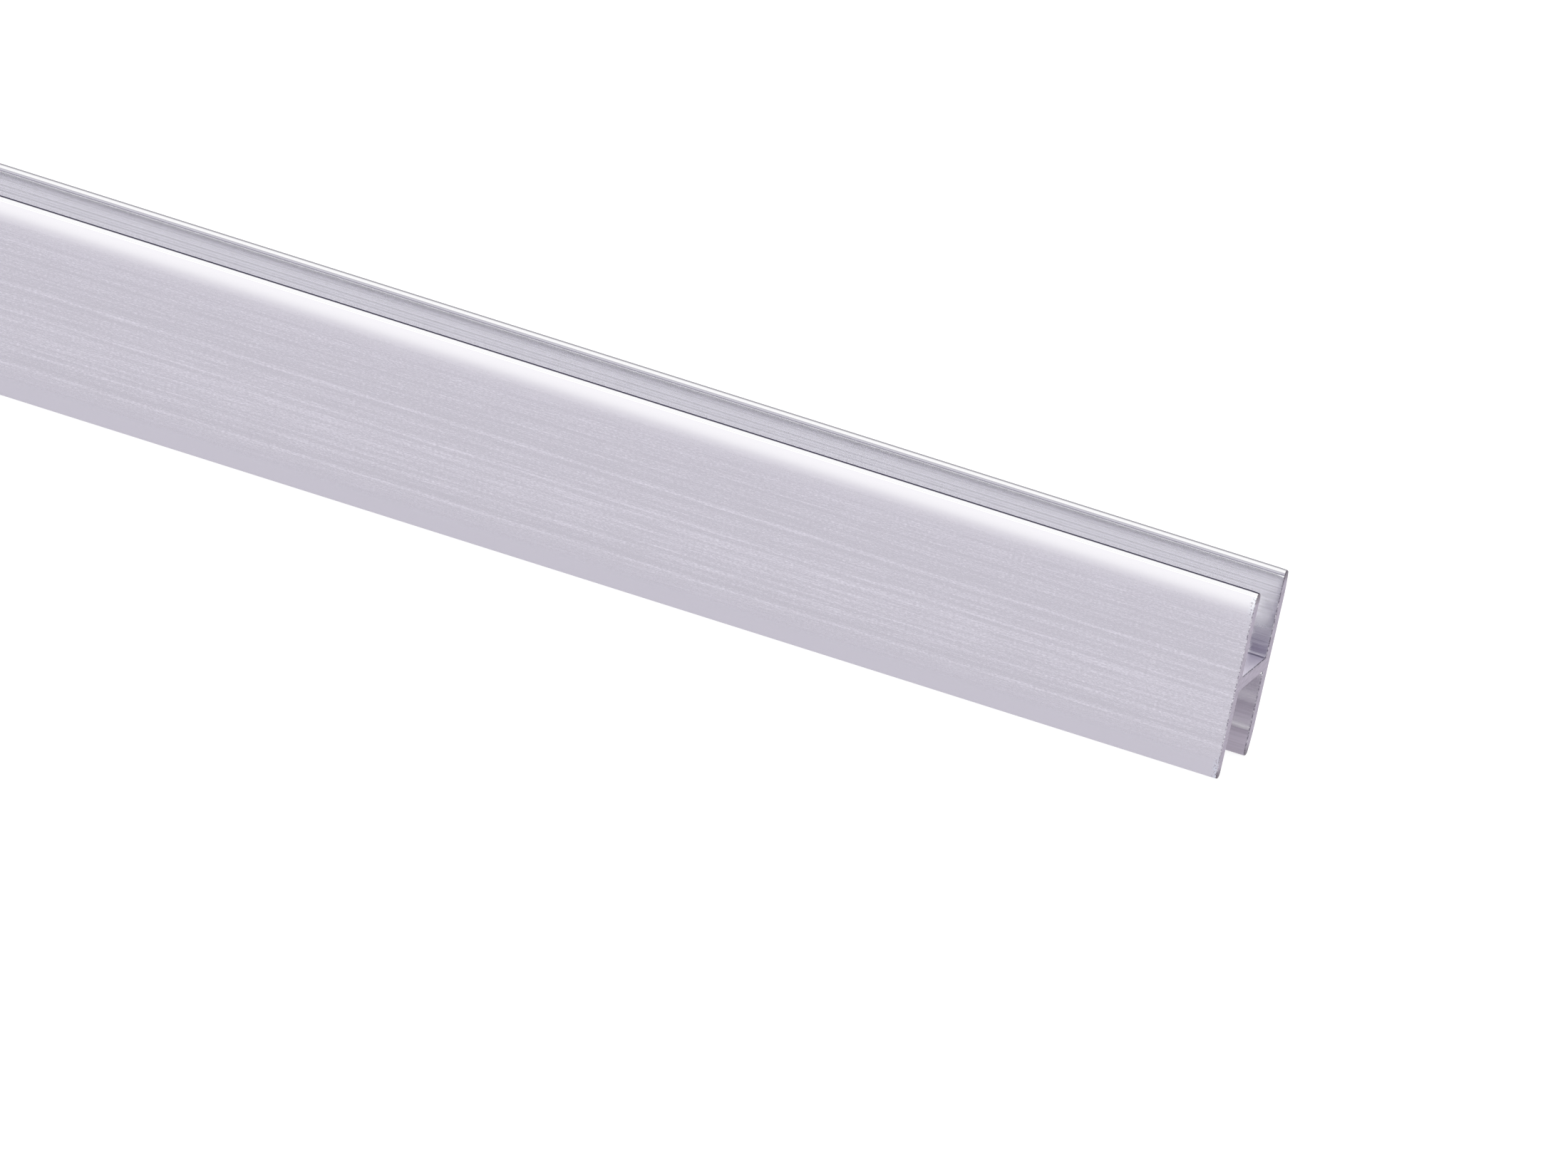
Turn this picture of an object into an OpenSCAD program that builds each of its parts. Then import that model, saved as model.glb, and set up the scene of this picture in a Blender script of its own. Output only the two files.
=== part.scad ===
// Aluminium H-profile: two upright flanges joined by a web at mid-height, so that a panel slides
// into the slot above the web and another into the slot below it.
// The bar lies along X and stands on the lower tips of its flanges, with Z up from the floor.

/* [Stock] */
// Length of the bar
bar_l = 1000; // [100:10:3000]

/* [Section] */
// Height of each flange
flange_h = 20; // [12:0.5:40]
// Thickness of each flange
flange_t = 1.5; // [1.1:0.1:2.5]
// Clear width of the slot between the flanges
slot_w = 7.9; // [5:0.1:20]
// Thickness of the web
web_t = 1.5; // [1:0.1:3]
// Radius in the corners between the web and the flanges
fillet_r = 0.4; // [0.2:0.1:1.2]

/* [Flange tips] */
// Distance from the tip at which the outer face starts to fall away
crown_run = 3.2; // [1.6:0.1:4.5]
// Depth by which the outer face has fallen away at the tip
crown_drop = 0.4; // [0.1:0.05:0.7]
// Distance from the tip at which the lead-in of the slot starts
lead_run = 1.25; // [0.7:0.05:3]
// Depth of the lead-in at the tip
lead_drop = 0.06; // [0.02:0.02:0.5]

/* [Hidden] */
// Straight steps in each rounded stretch of the outline
arc_steps = 8;

half_h = flange_h / 2;
half_slot = slot_w / 2;
half_depth = half_slot + flange_t;
half_web = web_t / 2;

// The nose is the small round that closes a flange tip, and both long arcs run into it smoothly.
nose_r = (flange_t - crown_drop - lead_drop) / 2;
crown_r = radius_into_nose(crown_run, crown_drop);
lead_r = radius_into_nose(lead_run, lead_drop);

fillet_centre = [half_slot - fillet_r, half_web + fillet_r];
lead_centre = [half_slot + lead_r, half_h - lead_run];
nose_centre = [half_depth - crown_drop - nose_r, half_h - nose_r];
crown_centre = [half_depth - crown_r, half_h - crown_run];

// Directions in which the nose touches the lead-in arc and the crown arc
lead_end = bearing(lead_centre, nose_centre);
crown_end = bearing(crown_centre, nose_centre);

// Radius of an arc that leaves a flat face at run from the tip and ends tangent to the nose,
// whose side stands back from that face by drop
function radius_into_nose(run, drop) =
    ((drop + nose_r) ^ 2 - nose_r ^ 2 + (run - nose_r) ^ 2) / (2 * drop);

function bearing(from, to) = atan2(to.y - from.y, to.x - from.x);

function on_circle(centre, r, angle) = centre + r * [cos(angle), sin(angle)];

// Points of an arc after its first one, so that arcs can follow each other
function arc(centre, r, from, to) =
    [for (i = [1:arc_steps]) on_circle(centre, r, from + (to - from) * i / arc_steps)];

function mirrored(points, side_x, side_y) = [for (p = points) [p.x * side_x, p.y * side_y]];

function reversed(points) = [for (i = [len(points) - 1:-1:0]) points[i]];

// A quarter of the outline: from the web up the inner face, round the tip and down the outer face
quarter = concat(
    [on_circle(fillet_centre, fillet_r, 270)],
    arc(fillet_centre, fillet_r, 270, 360),
    [on_circle(lead_centre, lead_r, 180)],
    arc(lead_centre, lead_r, 180, lead_end),
    arc(nose_centre, nose_r, lead_end, 90),
    arc(nose_centre, nose_r, 90, crown_end),
    arc(crown_centre, crown_r, crown_end, 0)
);

// The H outline, centred, with the depth along X and the height along Y
module section() {
    polygon(concat(
        quarter,
        reversed(mirrored(quarter, 1, -1)),
        mirrored(quarter, -1, -1),
        reversed(mirrored(quarter, -1, 1))
    ));
}

// The bar is pressed through one die, so it is a single solid with square-cut ends
module h_profile() {
    color([0.78, 0.77, 0.81])
        translate([0, 0, half_h])
            rotate([90, 0, 90])
                linear_extrude(height = bar_l, center = true)
                    section();
}

h_profile();
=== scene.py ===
# %% [markdown]
# # An aluminium H-profile, dressed in Blender
#
# The bar is one piece of extruded aluminium. Two upright flanges are joined by a web at mid-height,
# so the section looks like a letter H and a panel can slide into the slot above or below the web.
# The solid model gives the section and the length. This lesson gives the bar its finish: brushed
# outer faces, die lines in the slots, rubbed tips and a rough saw cut at each end.

# %% Load the solid model
import math

import bmesh
import bpy
from mathutils import Matrix, Vector


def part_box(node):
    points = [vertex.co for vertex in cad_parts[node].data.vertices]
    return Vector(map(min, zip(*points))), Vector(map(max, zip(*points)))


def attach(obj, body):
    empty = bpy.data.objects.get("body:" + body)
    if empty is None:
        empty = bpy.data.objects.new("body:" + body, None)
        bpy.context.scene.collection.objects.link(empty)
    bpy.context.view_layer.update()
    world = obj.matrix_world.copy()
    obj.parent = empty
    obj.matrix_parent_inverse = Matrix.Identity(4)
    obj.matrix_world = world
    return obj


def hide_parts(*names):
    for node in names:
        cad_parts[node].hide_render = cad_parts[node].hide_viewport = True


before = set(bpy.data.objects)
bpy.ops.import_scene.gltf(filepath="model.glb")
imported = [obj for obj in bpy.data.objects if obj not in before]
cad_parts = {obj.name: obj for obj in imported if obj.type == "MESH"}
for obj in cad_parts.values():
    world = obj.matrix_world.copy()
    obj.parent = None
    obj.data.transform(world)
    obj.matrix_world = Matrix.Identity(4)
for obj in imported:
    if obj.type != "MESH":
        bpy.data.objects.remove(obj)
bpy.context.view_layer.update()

MM = 0.001
bar_low, bar_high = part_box("h_profile")
bar_end = bar_high.x
print("bar, in mm:", [round(v / MM, 2) for v in bar_high - bar_low])

# %% [markdown]
# ## The camera
#
# In the picture the bar's long edges stay parallel from one side to the other, so it was taken from
# far away with a long lens. An orthographic camera draws exactly that. Two angles say from where it
# looks, and a third one, the roll, says how far it is tipped. The tip makes the upright flanges
# lean.

# %% Camera at the picture's angle
VIEW_AZIMUTH = math.radians(13.93)
VIEW_ELEVATION = math.radians(18.95)
VIEW_ROLL = math.radians(12.92)
VIEW_WIDTH = 155.7 * MM
VIEW_DISTANCE = 0.6
# The point in the middle of the picture, measured from the middle of the bar's right-hand end on the floor
VIEW_AIM = Vector((-44.6, -16.6, 9.7)) * MM


def camera_axes(azimuth, elevation, roll):
    """Right, up and backward directions of a camera at those angles."""
    back = Vector((
        math.sin(azimuth) * math.cos(elevation),
        -math.cos(azimuth) * math.cos(elevation),
        math.sin(elevation),
    ))
    level_right = Vector((math.cos(azimuth), math.sin(azimuth), 0))
    level_up = back.cross(level_right)
    right = level_right * math.cos(roll) + level_up * math.sin(roll)
    return right, back.cross(right), back


right, up, back = camera_axes(VIEW_AZIMUTH, VIEW_ELEVATION, VIEW_ROLL)
bpy.ops.object.select_all(action="DESELECT")
bpy.ops.object.camera_add()
camera = bpy.context.object
camera.name = "camera"
camera.data.type = "ORTHO"
camera.data.ortho_scale = VIEW_WIDTH
camera_place = Vector((bar_end, 0, 0)) + VIEW_AIM + back * VIEW_DISTANCE
camera_turn = Matrix((right, up, back)).transposed().to_4x4()
camera.matrix_world = Matrix.Translation(camera_place) @ camera_turn
bpy.context.scene.camera = camera
print("camera at", [round(v, 3) for v in camera_place])

# %% [markdown]
# ## Shader maths in plain Python
#
# A material is a graph of nodes, and a sum of two values is a Math node with two links. Written
# node by node that is hard to read. A small class wraps an output socket and gives it Python's
# operators, so that `1 - scratches * 0.2` builds its own Math nodes. Every other kind of node comes
# from its one method, `node`.

# %% Sockets that Python can calculate with
class Signal:
    """An output socket in a node tree, or only the tree before its first node."""

    def __init__(self, tree, socket=None):
        self.tree = tree
        self.socket = socket

    def node(self, kind, settings, sockets, output=0):
        """Adds a node, sets its settings and then its sockets, and returns an output if it has any."""
        made = self.tree.nodes.new(kind)
        for name, value in settings.items():
            setattr(made, name, value)
        for name, value in sockets.items():
            if isinstance(value, Signal):
                self.tree.links.new(value.socket, made.inputs[name])
            else:
                made.inputs[name].default_value = value
        return Signal(self.tree, made.outputs[output] if made.outputs else None)

    def math(self, operation, first, second):
        return self.node("ShaderNodeMath", {"operation": operation}, {0: first, 1: second})

    def __add__(self, other):
        return self.math("ADD", self, other)

    def __radd__(self, other):
        return self.math("ADD", other, self)

    def __sub__(self, other):
        return self.math("SUBTRACT", self, other)

    def __rsub__(self, other):
        return self.math("SUBTRACT", other, self)

    def __mul__(self, other):
        return self.math("MULTIPLY", self, other)

    def __rmul__(self, other):
        return self.math("MULTIPLY", other, self)


print("class:", Signal.__doc__)

# %% [markdown]
# Four kinds of node come up again and again, so they get short names: a smooth step, the size of a
# value without its sign, one coordinate of a vector, and a colour between two others.

# %% Short names for the nodes used most
# A Mix node has sockets for numbers, vectors and colours. These are the places of those for colours.
MIX_FACTOR, MIX_DARK, MIX_LIGHT = 0, 6, 7
MIX_RESULT = 2


def between(value, low, high):
    """0 below low, 1 above high, and a smooth rise from one to the other."""
    sockets = {"Value": value, "From Min": low, "From Max": high}
    return value.node("ShaderNodeMapRange", {"interpolation_type": "SMOOTHSTEP"}, sockets)


def unsigned(value):
    return value.node("ShaderNodeMath", {"operation": "ABSOLUTE"}, {0: value})


def axis_of(vector, axis):
    """One coordinate of a vector, by its letter."""
    return vector.node("ShaderNodeSeparateXYZ", {}, {"Vector": vector}, axis)


def toned(tone, dark, light):
    """The dark colour at tone 0, the light one at tone 1."""
    sockets = {MIX_FACTOR: tone, MIX_DARK: dark, MIX_LIGHT: light}
    return tone.node("ShaderNodeMix", {"data_type": "RGBA"}, sockets, MIX_RESULT)


print("short names:", [short.__name__ for short in (between, unsigned, axis_of, toned)])

# %% [markdown]
# ## The floor
#
# A metal shows little but reflections, and the upright front face mirrors the floor before it. So
# the floor is a light table, as product pictures often have it. It glows from below more than it is
# lit from above, which keeps it white and leaves hardly any shadow.

# %% Light table
FLOOR_SIZE = 200.0
FLOOR_COLOUR = (0.30, 0.30, 0.30, 1)
FLOOR_GLOW = 0.83
FLOOR_ROUGHNESS = 0.9
FLOOR_SPECULAR = 0.1
NEUTRAL = (1, 1, 1, 1)

bpy.ops.object.select_all(action="DESELECT")
bpy.ops.mesh.primitive_plane_add(size=FLOOR_SIZE)
floor = bpy.context.object
floor.name = "floor"
table = bpy.data.materials.new("light_table")
table.use_nodes = True
table_shader = table.node_tree.nodes["Principled BSDF"]
table_shader.inputs["Base Color"].default_value = FLOOR_COLOUR
table_shader.inputs["Roughness"].default_value = FLOOR_ROUGHNESS
table_shader.inputs["Specular IOR Level"].default_value = FLOOR_SPECULAR
table_shader.inputs["Emission Color"].default_value = NEUTRAL
table_shader.inputs["Emission Strength"].default_value = FLOOR_GLOW
floor.data.materials.append(table)
print("floor:", FLOOR_SIZE, "m wide")

# %% [markdown]
# ## The room
#
# Bright panels could stand round the bar, but they would look different from each place along it.
# So the rest of the room is painted on the world, by direction. The rounded upper edge of the front
# flange tilts towards the horizon, where a wide bright panel draws the white line along the edge.
# The panel is a little warm, because the metal is a little blue and the line is white. A low panel
# behind the bar lights the slot. Both sides of the room are dim, so that the flanges don't turn
# white all over when the bar is seen from its end. Light leaves the slot only after seven or eight
# reflections, so more of them are traced than usual.

# %% Studio room
FRONT_PANEL = 2.0
OVERHEAD_PANEL = 1.05
BACK_PANEL = 1.4
BACK_ROOM = 0.9
SIDE_ROOM = 0.4
# Where one part of the room turns into the next, as coordinates of a direction of length 1
BACK_EDGE = (0.05, 0.35)
SIDE_EDGE = (0.7, 0.9)
OVERHEAD_EDGE = (0.3, 0.5)
BACK_PANEL_EDGE = (0.33, 0.43)
WARM = (0.985, 1.015, 0.92, 1)
SLOT_REFLECTIONS = 12

room = bpy.data.worlds.new("studio_room")
room.use_nodes = True
room.node_tree.nodes.clear()
direction = Signal(room.node_tree).node("ShaderNodeTexCoord", {}, {}, "Generated")
upwards = axis_of(direction, "Z")
behind = between(axis_of(direction, "Y"), *BACK_EDGE)
sideways = between(unsigned(axis_of(direction, "X")), *SIDE_EDGE)
overhead = between(upwards, *OVERHEAD_EDGE)
over_back_panel = between(upwards, *BACK_PANEL_EDGE)
front_glow = FRONT_PANEL * (1 - overhead) + OVERHEAD_PANEL * overhead
back_glow = BACK_PANEL * (1 - over_back_panel) + BACK_ROOM * over_back_panel
glow = (front_glow * (1 - behind) + back_glow * behind) * (1 - sideways) + SIDE_ROOM * sideways
tint = toned((1 - overhead) * (1 - behind) * (1 - sideways), NEUTRAL, WARM)
light = direction.node("ShaderNodeBackground", {}, {"Color": tint, "Strength": glow})
light.node("ShaderNodeOutputWorld", {}, {"Surface": light})
bpy.context.scene.world = room
bpy.context.scene.view_settings.view_transform = "Standard"
bpy.context.scene.cycles.glossy_bounces = SLOT_REFLECTIONS
print("room:", len(room.node_tree.nodes), "nodes")

# %% [markdown]
# ## The bar
#
# The real bar is pressed hot through a steel die, so its section is the same all along, and a saw
# cuts it to length. The section could be drawn again here, but it might then differ from the
# solid's. So the dressed bar is a copy of the solid's mesh, whose triangles are merged and
# dissolved into long clean strips. That leaves only the two sawn ends to model.

# %% Copy the solid and clean its faces
MERGE_DISTANCE = 0.002 * MM
FLAT_ANGLE = math.radians(0.5)

bar = bpy.data.objects.new("h_bar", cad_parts["h_profile"].data.copy())
bpy.context.collection.objects.link(bar)
bar.data.materials.clear()
bpy.ops.object.select_all(action="DESELECT")
bar.select_set(True)
bpy.context.view_layer.objects.active = bar
bpy.ops.object.mode_set(mode="EDIT")
bpy.ops.mesh.select_all(action="SELECT")
bpy.ops.mesh.remove_doubles(threshold=MERGE_DISTANCE)
bpy.ops.mesh.dissolve_limited(angle_limit=FLAT_ANGLE)
bpy.ops.object.mode_set(mode="OBJECT")
print("clean strips:", len(bar.data.polygons))

# %% [markdown]
# ## The sawn ends
#
# A saw leaves an uneven rim, because its teeth tear the last bit of metal off. The rim's long
# straight edges are divided finely first, so that there is something to make uneven. A cut across
# the bar just behind the rim keeps that unevenness away from the long strips. Dividing the whole
# bar would work too, but it would take many more faces.

# %% Divide the rim finely
CUT_ZONE = 0.8 * MM
RIM_STEP = 0.15 * MM
SMALL = 0.01 * MM


def select_where(kind, wanted):
    """Selects the bar's vertices, edges or faces that are wanted, in edit mode, and counts them."""
    bpy.ops.mesh.select_mode(type=kind)
    bpy.ops.mesh.select_all(action="DESELECT")
    shape = bmesh.from_edit_mesh(bar.data)
    parts = {"VERT": shape.verts, "EDGE": shape.edges, "FACE": shape.faces}[kind]
    chosen = [part for part in parts if wanted(part)]
    for part in chosen:
        part.select_set(True)
    bmesh.update_edit_mesh(bar.data)
    return len(chosen)


def on_rim(edge):
    return all(abs(abs(corner.co.x) - bar_end) < SMALL for corner in edge.verts)


def is_long_on_rim(edge):
    return on_rim(edge) and edge.calc_length() > RIM_STEP


bpy.ops.object.mode_set(mode="EDIT")
for end in (-1, 1):
    bpy.ops.mesh.select_all(action="SELECT")
    bpy.ops.mesh.bisect(plane_co=(end * (bar_end - CUT_ZONE), 0, 0), plane_no=(1, 0, 0))
while select_where("EDGE", is_long_on_rim):
    bpy.ops.mesh.subdivide(number_cuts=1)
print("rim edges:", select_where("EDGE", on_rim))

# %% [markdown]
# A bevel all round breaks the sharp rim. The loop that it leaves on the bar's sides is pulled in a
# little and then shaken, so that no point of it stands out of the bar. A bump could show such nicks
# too, but the rim's outline would stay straight. Weighted normals keep the wide faces looking flat
# right up to the rounded edges beside them.

# %% Break the rim and shake it
BROKEN_EDGE = 0.09 * MM
RAGGED = 0.03 * MM
RAGGED_SEED = 7
# The loop moves in at a slant, so it is pulled in further than it is shaken
PULL_IN = 1.2 * RAGGED
SHARP_ANGLE = math.radians(25)


def on_broken_loop(corner):
    return abs(abs(corner.co.x) - (bar_end - BROKEN_EDGE)) < SMALL


bpy.ops.mesh.bevel(offset=BROKEN_EDGE, segments=1, affect="EDGES")
print("broken loop:", select_where("VERT", on_broken_loop), "points")
bpy.ops.transform.shrink_fatten(value=-PULL_IN)
bpy.ops.transform.vertex_random(offset=RAGGED, seed=RAGGED_SEED)
bpy.ops.object.mode_set(mode="OBJECT")
bpy.ops.object.shade_smooth_by_angle(angle=SHARP_ANGLE)
bpy.ops.object.modifier_add(type="WEIGHTED_NORMAL")
bar.modifiers[-1].keep_sharp = True
bpy.ops.object.modifier_apply(modifier=bar.modifiers[-1].name)
print("bar:", len(bar.data.polygons), "faces")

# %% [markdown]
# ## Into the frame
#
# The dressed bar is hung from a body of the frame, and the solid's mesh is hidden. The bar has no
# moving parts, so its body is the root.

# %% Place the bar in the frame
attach(bar, "root")
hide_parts("h_profile")
print("in the frame:", bar.name)

# %% [markdown]
# ## One metal, several finishes
#
# All of the bar is the same aluminium, and only its surface differs. So every finish starts as the
# same metal shader and takes its pattern from the place on the bar. Most patterns are noise that is
# drawn out in one direction, as a brush, a die or a saw blade does it. Many of them also change
# with the distance from the flanges' tips.

# %% Metal and marks
NOISE_MIDDLE = 0.5
MIDDLE_TONE = 0.5
flange_h = bar_high.z
web_z = flange_h / 2


def new_metal(name, roughness):
    """A metal with its shader, and the place on the bar that its pattern follows."""
    material = bpy.data.materials.new(name)
    material.use_nodes = True
    shader = material.node_tree.nodes["Principled BSDF"]
    shader.inputs["Metallic"].default_value = 1
    shader.inputs["Roughness"].default_value = roughness
    place = Signal(material.node_tree).node("ShaderNodeTexCoord", {}, {}, "Object")
    return material, shader, place


def feed(shader, name, value):
    value.tree.links.new(value.socket, shader.inputs[name])


def marks(place, size, turn=(0, 0, 0), detail=1):
    """Noise with grains of that size, from about -0.5 to 0.5."""
    sockets = {"Vector": place, "Rotation": turn, "Scale": size}
    stretched = place.node("ShaderNodeMapping", {"vector_type": "TEXTURE"}, sockets)
    noise = {"Vector": stretched, "Scale": 1, "Detail": detail}
    return place.node("ShaderNodeTexNoise", {}, noise) - NOISE_MIDDLE


def from_tip(place):
    """How far a place on the bar is from the nearer tips of the flanges."""
    return web_z - unsigned(axis_of(place, "Z") - web_z)


print("tips at 0 and", round(flange_h / MM, 2), "mm, web at", round(web_z / MM, 2), "mm")

# %% [markdown]
# ## Brushed outer faces
#
# The die draws long lines into the metal, and a brush then goes over the outer faces along the bar.
# Its bristles leave long and short scratches, which lean a little. Light scratches stand out more
# than dark ones, so the square of the grain is added to it. Towards the tips the brush presses less,
# so the scratches fade, and the metal is painted lighter there: a painted highlight that widens the
# white line along the rounded edges, at the lower tips as well. Scratches this fine can't be
# modelled, so they change the colour and the roughness.

# %% Brushed outer faces
BRUSHED_DARK = (0.377, 0.361, 0.410, 1)
BRUSHED_LIGHT = (0.625, 0.598, 0.681, 1)
BRUSHED_ROUGHNESS = 0.28
DIE_LINE = (3000 * MM, 0.5 * MM, 0.5 * MM)
LONG_SCRATCH = (7 * MM, 0.085 * MM, 0.085 * MM)
SHORT_SCRATCH = (0.32 * MM, 0.085 * MM, 0.085 * MM)
BRUSH_LEAN = (0, -math.radians(1), 0)
DIE_LINE_DEPTH = 0.75
LONG_DEPTH = 0.55
SHORT_DEPTH = 0.9
GLINT = 2.5
GRAIN_ROUGHNESS = 0.1
BRUSH_START = 1.0 * MM
BRUSH_FULL = 4.0 * MM
# How far from each tip the painted highlight on the outer faces reaches
EDGE_HIGHLIGHT_FULL = 0.5 * MM
EDGE_HIGHLIGHT_END = 4.5 * MM
EDGE_HIGHLIGHT = 0.1

brushed, brushed_shader, place = new_metal("brushed_aluminium", BRUSHED_ROUGHNESS)
die_lines = marks(place, DIE_LINE, detail=3) * DIE_LINE_DEPTH
long_scratches = marks(place, LONG_SCRATCH, BRUSH_LEAN) * LONG_DEPTH
short_scratches = marks(place, SHORT_SCRATCH, BRUSH_LEAN) * SHORT_DEPTH
brush_pressure = between(from_tip(place), BRUSH_START, BRUSH_FULL)
grain = (die_lines + (long_scratches + short_scratches)) * brush_pressure
# Painted highlight: the metal is lighter near every tip, upper and lower
painted_edge_highlight = 1 - between(from_tip(place), EDGE_HIGHLIGHT_FULL, EDGE_HIGHLIGHT_END)
brushed_tone = MIDDLE_TONE + grain + grain * grain * GLINT + painted_edge_highlight * EDGE_HIGHLIGHT
brushed_colour = toned(brushed_tone, BRUSHED_DARK, BRUSHED_LIGHT)
feed(brushed_shader, "Roughness", BRUSHED_ROUGHNESS + grain * GRAIN_ROUGHNESS)
print(brushed.name, "with scratches", LONG_SCRATCH[0] / MM, "and", SHORT_SCRATCH[0] / MM, "mm long")

# %% [markdown]
# Where the saw leaves a flange, it chips the corner of the outer face. The chips are small specks
# right beside the cut. Most are bluish white, and a few are dark. They are too shallow to change
# the outline, so colour is enough. One noise gives both kinds, the light ones from its high values
# and the dark ones from its lowest.

# %% Chipped corners
CHIP = (0.16 * MM, 0.16 * MM, 0.16 * MM)
CHIP_LIGHT = (0.54, 0.56, 0.66, 1)
CHIP_DARK = (0.12, 0.11, 0.16, 1)
LIGHT_CHIPS = (0.0, 0.06)
DARK_CHIPS = (-0.15, -0.09)
CHIPS_START = 0.8 * MM
CHIPS_FULL = 0.2 * MM
CHIPS_TALL = 1.2 * MM
CHIPS_END = 3.0 * MM

chips = marks(place, CHIP, detail=2)
beside_cut = between(unsigned(axis_of(place, "X")), bar_end - CHIPS_START, bar_end - CHIPS_FULL)
chipped = beside_cut * (1 - between(from_tip(place), CHIPS_TALL, CHIPS_END))
light_chips = chipped * between(chips, *LIGHT_CHIPS)
dark_chips = chipped * (1 - between(chips, *DARK_CHIPS))
chipped_colour = toned(dark_chips, toned(light_chips, brushed_colour, CHIP_LIGHT), CHIP_DARK)
feed(brushed_shader, "Base Color", chipped_colour)
print(brushed.name, len(brushed.node_tree.nodes), "nodes")

# %% [markdown]
# ## Die-drawn slots
#
# The brush doesn't fit into the slots. Their walls keep the bright skin that left the die, with
# fine lines along the bar and four deeper scores near each tip. The scores are too shallow to be
# worth cutting into the section, so they are drawn in the colour. Near the mouth of the lower slot
# the walls are painted darker, as painted shade where they face the shaded floor under the bar. The
# painted shade keeps the lines, and its edge wavers a little along the bar.

# %% Die-drawn slots
DRAWN_DARK = (0.72, 0.715, 0.75, 1)
DRAWN_LIGHT = (0.990, 0.986, 1.0, 1)
DRAWN_ROUGHNESS = 0.15
DRAWN_TONE = 0.81
WALL_LINE = (3000 * MM, 0.14 * MM, 0.14 * MM)
WALL_LINE_DEPTH = 1.6
DIE_SCORES = (0.56 * MM, 1.25 * MM, 1.91 * MM, 2.41 * MM)
SCORE_WIDTH = 0.15 * MM
SCORE_DEPTH = 0.35
# Painted shade near the mouth of the lower slot
MOUTH_SHADE_DARK = (0.30, 0.27, 0.325, 1)
MOUTH_SHADE_LIGHT = (0.42, 0.38, 0.455, 1)
MOUTH_SHADE_FULL = 2.8 * MM
MOUTH_SHADE_END = 3.3 * MM
MOUTH_SHADE_WAVE = (9 * MM, 1.5 * MM, 1.5 * MM)
MOUTH_SHADE_WAVER = 0.6 * MM

drawn, drawn_shader, place = new_metal("die_drawn_aluminium", DRAWN_ROUGHNESS)
height = axis_of(place, "Z")
wall_lines = marks(place, WALL_LINE, detail=4)
scores = sum(1 - between(unsigned(from_tip(place) - score), 0, SCORE_WIDTH) for score in DIE_SCORES)
drawn_tone = DRAWN_TONE + wall_lines * WALL_LINE_DEPTH - scores * SCORE_DEPTH
bright_colour = toned(drawn_tone, DRAWN_DARK, DRAWN_LIGHT)
# Painted shade at the lower slot's mouth, which keeps the die lines
mouth_shade_colour = toned(MIDDLE_TONE + wall_lines * WALL_LINE_DEPTH, MOUTH_SHADE_DARK, MOUTH_SHADE_LIGHT)
mouth_shade_edge = height + marks(place, MOUTH_SHADE_WAVE, detail=3) * MOUTH_SHADE_WAVER
slot_colour = toned(between(mouth_shade_edge, MOUTH_SHADE_FULL, MOUTH_SHADE_END), mouth_shade_colour, bright_colour)
print(drawn.name, "with", len(DIE_SCORES), "scores near each tip")

# %% [markdown]
# Near the ends the lower part of the upper slot's walls is painted darker: painted shade deep in
# the slot, just above the web. The web between them is duller near the ends. The edge of the painted
# shade follows a noise, because a straight one would look painted on, and the die lines show through
# it as streaks.

# %% Painted shade at the ends of the slots
# Painted shade low on the upper slot's walls near the ends
WALL_SHADE_COLOUR = (0.34, 0.315, 0.41, 1)
DULL_WEB = (0.90, 0.86, 0.95, 1)
WALL_SHADE_START = 3.6 * MM
WALL_SHADE_FULL = 1.6 * MM
WALL_SHADE_BLOTCH = (1.2 * MM, 1.2 * MM, 0.8 * MM)
WALL_SHADE_WAVER = 5 * MM
WALL_SHADE_COVER = 0.95
WALL_SHADE_STREAKS = 1.5
END_ROUGHNESS = 0.3
WALL_SHADE_LOW = 1.0 * MM
WALL_SHADE_HIGH = 6.3 * MM
CORNER_START = 0.3 * MM
CORNER_END = 0.05 * MM
# A flange's tip lies about midway between the slot's wall and the outer face
tip_y = abs(max(bar.data.vertices, key=lambda corner: corner.co.z).co.y)
wall_y = 2 * tip_y - bar_high.y

waver = marks(place, WALL_SHADE_BLOTCH, detail=3) * WALL_SHADE_WAVER
from_middle = unsigned(axis_of(place, "X")) + waver
near_end = between(from_middle, bar_end - WALL_SHADE_START, bar_end - WALL_SHADE_FULL)
on_wall = between(unsigned(axis_of(place, "Y")), wall_y - CORNER_START, wall_y - CORNER_END)
over_web = between(height, web_z - SMALL, web_z + SMALL)
low_on_wall = 1 - between(height, web_z + WALL_SHADE_LOW, web_z + WALL_SHADE_HIGH)
streaks = WALL_SHADE_COVER + wall_lines * WALL_SHADE_STREAKS
# Painted shade just above the web, near the ends, with die-line streaks
wall_shade = near_end * on_wall * over_web * low_on_wall * streaks
dulled = near_end * (1 - on_wall)
end_colour = toned(wall_shade, toned(dulled, slot_colour, DULL_WEB), WALL_SHADE_COLOUR)
feed(drawn_shader, "Base Color", end_colour)
feed(drawn_shader, "Roughness", DRAWN_ROUGHNESS + (wall_shade + dulled) * END_ROUGHNESS)
print(drawn.name, len(drawn.node_tree.nodes), "nodes, tips at", round(tip_y / MM, 2), "mm")

# %% [markdown]
# ## Upper tips, with painted shade
#
# The upper tips get bright metal. On the inner side of each tip runs a band of painted shade,
# darker on the back flange, and a thin painted dark reflection runs along the top, darker on the
# front flange. Each stripe could be a row of faces of its own, but a tip is only about a
# millimetre wide, so one material measures how far a place is from the tip's middle. The specular
# tint takes some light away where the tip curves out of sight, which keeps its outline dark.

# %% Upper tips, with painted shade
TIP_BRIGHT = (0.93, 0.925, 0.94, 1)
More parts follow.
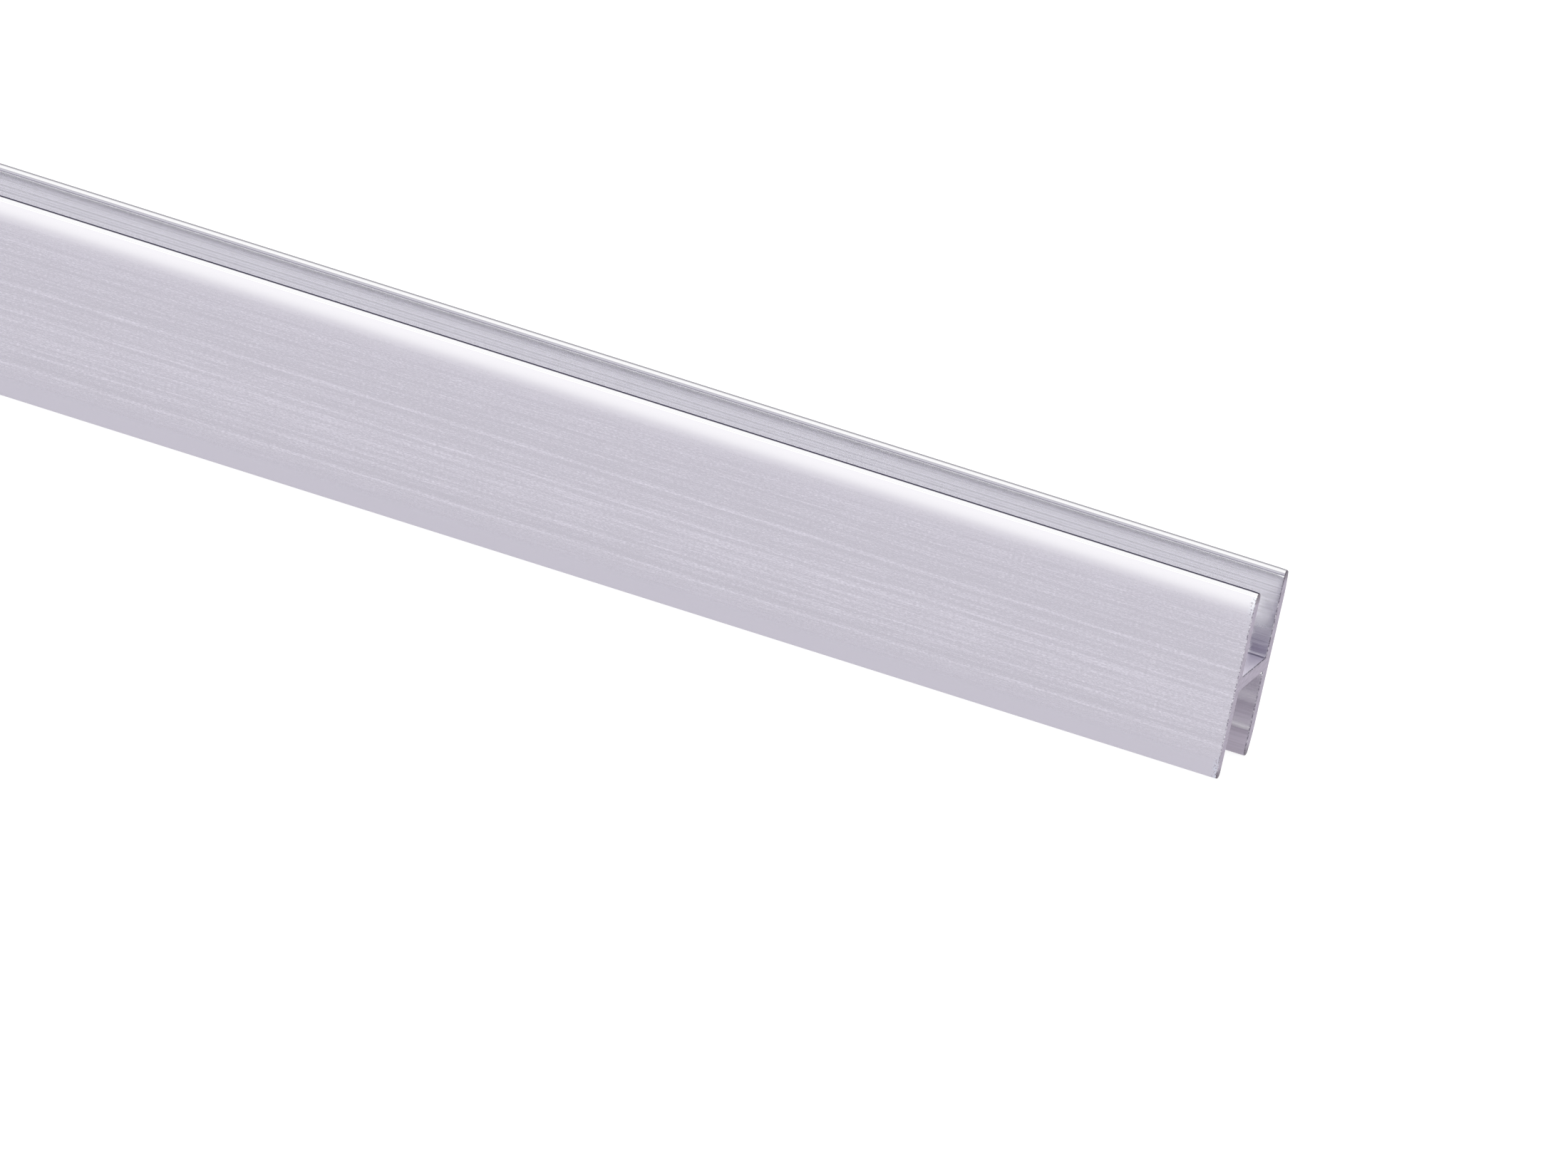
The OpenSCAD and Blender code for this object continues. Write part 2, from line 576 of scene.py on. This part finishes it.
# Painted shade band on the inner side of each upper tip
FRONT_SHADE_BAND = (0.50, 0.485, 0.56, 1)
BACK_SHADE_BAND = (0.32, 0.305, 0.37, 1)
TIP_OUTER = (0.56, 0.545, 0.585, 1)
# Painted dark reflection along the top of each upper tip
FRONT_DARK_REFLECTION = (0.05, 0.04, 0.08, 1)
BACK_DARK_REFLECTION = (0.50, 0.49, 0.52, 1)
TIP_OUTLINE = (0.29, 0.28, 0.33, 1)
TIP_ROUGHNESS = 0.12
TIP_MIDDLE = 0.1 * MM
SHADE_BAND_START = 0.2 * MM
SHADE_BAND_FULL = 0.34 * MM
OUTER_START = 0.44 * MM
OUTER_FULL = 0.52 * MM
DARK_REFLECTION_FULL = 0.12 * MM
DARK_REFLECTION_END = 0.26 * MM

upper_tip, upper_tip_shader, place = new_metal("upper_tip_aluminium", TIP_ROUGHNESS)
upper_tip_shader.inputs["Specular Tint"].default_value = TIP_OUTLINE
outwards = unsigned(axis_of(place, "Y")) - tip_y
inner_side = 1 - between(outwards, -TIP_MIDDLE, TIP_MIDDLE)
# Painted shade band on the inner side of the tip
shade_band = between(from_tip(place), SHADE_BAND_START, SHADE_BAND_FULL) * inner_side
on_back = between(axis_of(place, "Y"), -SMALL, SMALL)
shade_band_colour = toned(on_back, FRONT_SHADE_BAND, BACK_SHADE_BAND)
tip_colour = toned(shade_band, TIP_BRIGHT, shade_band_colour)
tip_colour = toned(between(outwards, OUTER_START, OUTER_FULL), tip_colour, TIP_OUTER)
# Painted dark reflection along the top of the tip
dark_reflection = 1 - between(unsigned(outwards), DARK_REFLECTION_FULL, DARK_REFLECTION_END)
dark_reflection_colour = toned(on_back, FRONT_DARK_REFLECTION, BACK_DARK_REFLECTION)
feed(upper_tip_shader, "Base Color", toned(dark_reflection, tip_colour, dark_reflection_colour))
print(upper_tip.name, len(upper_tip.node_tree.nodes), "nodes")

# %% [markdown]
# ## Sawn ends
#
# The saw cut is rough and grey, with fine marks across the section in the direction in which the
# blade ran. It is darker towards the thin tips. Real grooves would take thousands of faces, so a
# noise that is drawn out along the cut gives the marks.

# %% Sawn ends
SAWN_DARK = (0.24, 0.205, 0.265, 1)
SAWN_LIGHT = (0.51, 0.46, 0.57, 1)
SAWN_ROUGHNESS = 0.5
SAW_MARK = (0.2 * MM, 1.2 * MM, 0.07 * MM)
SAW_LEAN = (math.radians(15), 0, 0)
SAW_DEPTH = 2.2
SAW_ROUGHNESS = 0.2
# The end is darker towards the flanges' tips
TIP_DARK = (0.10, 0.08, 0.10, 1)
TIP_DARK_FULL = 0.3 * MM
TIP_DARK_END = 1.5 * MM
TIP_DARK_COVER = 0.7


def darker_at_tips(place, colour):
    """The colour, darker towards the flanges' tips."""
    tip_dark = (1 - between(from_tip(place), TIP_DARK_FULL, TIP_DARK_END)) * TIP_DARK_COVER
    return toned(tip_dark, colour, TIP_DARK)


sawn, sawn_shader, place = new_metal("sawn_aluminium", SAWN_ROUGHNESS)
saw_marks = marks(place, SAW_MARK, SAW_LEAN, detail=2)
cut_colour = toned(MIDDLE_TONE + saw_marks * SAW_DEPTH, SAWN_DARK, SAWN_LIGHT)
feed(sawn_shader, "Base Color", darker_at_tips(place, cut_colour))
feed(sawn_shader, "Roughness", SAWN_ROUGHNESS + saw_marks * SAW_ROUGHNESS)
print(sawn.name, len(sawn.node_tree.nodes), "nodes")

# %% [markdown]
# Round the cut, the broken rim is torn rather than sawn. It is a row of bright specks and dark
# nicks. On the outer side it is painted lighter, so more of the specks are bright there: a painted
# highlight on top of the real mottling. The bevel has already made its faces, so it only needs a
# finish of its own.

# %% Torn rim
TORN_DARK = (0.16, 0.14, 0.19, 1)
TORN_LIGHT = (0.72, 0.70, 0.77, 1)
TORN_ROUGHNESS = 0.45
TORN_TONE = 0.2
# How much lighter the outer side of the rim is painted, a painted highlight
TORN_OUTER_HIGHLIGHT = 0.25
TORN_SPECK = (0.18 * MM, 0.18 * MM, 0.18 * MM)
SPECK_DEPTH = 2.5

torn, torn_shader, place = new_metal("torn_aluminium", TORN_ROUGHNESS)
on_outer_side = between(unsigned(axis_of(place, "Y")), tip_y - SMALL, tip_y + SMALL)
specks = marks(place, TORN_SPECK, detail=2) * SPECK_DEPTH
# The outer side is painted lighter, a painted highlight over the mottled specks
torn_tone = TORN_TONE + on_outer_side * TORN_OUTER_HIGHLIGHT + specks
torn_colour = toned(torn_tone, TORN_DARK, TORN_LIGHT)
feed(torn_shader, "Base Color", darker_at_tips(place, torn_colour))
print(torn.name, len(torn.node_tree.nodes), "nodes")

# %% [markdown]
# ## Which face gets which finish
#
# A face's place tells its finish. Faces between the tips of the two flanges are die-drawn, and the
# highest ones are the upper tips. The outer halves of the lower tips stay brushed, and so darker:
# painted shade where they face the floor under the bar. Faces that look along the bar are sawn, and
# those of the rim, which look along it at a slant, are torn. All others are brushed. The faces could
# be picked by hand, but a rule does both ends at once.

# %% Give each face its finish
TIP_HEIGHT = 0.5 * MM
RIM_SLANT = 0.3
CUT_SLANT = 0.95


def is_drawn(face):
    return abs(face.calc_center_median().y) < tip_y


# Only the upper tips get this bright metal; the lower ones stay brushed and darker, as painted shade
def is_upper_tip(face):
    return face.calc_center_median().z > flange_h - TIP_HEIGHT


def is_torn(face):
    return abs(face.normal.x) > RIM_SLANT


def is_sawn(face):
    return abs(face.normal.x) > CUT_SLANT


for material in (brushed, drawn, upper_tip, torn, sawn):
    bar.data.materials.append(material)
bpy.ops.object.mode_set(mode="EDIT")
for slot, wanted in enumerate((is_drawn, is_upper_tip, is_torn, is_sawn), start=1):
    print(bar.data.materials[slot].name, select_where("FACE", wanted), "faces")
    bar.active_material_index = slot
    bpy.ops.object.material_slot_assign()
bpy.ops.object.mode_set(mode="OBJECT")

# %% [markdown]
# The dressed bar has to stay inside the box of the solid.
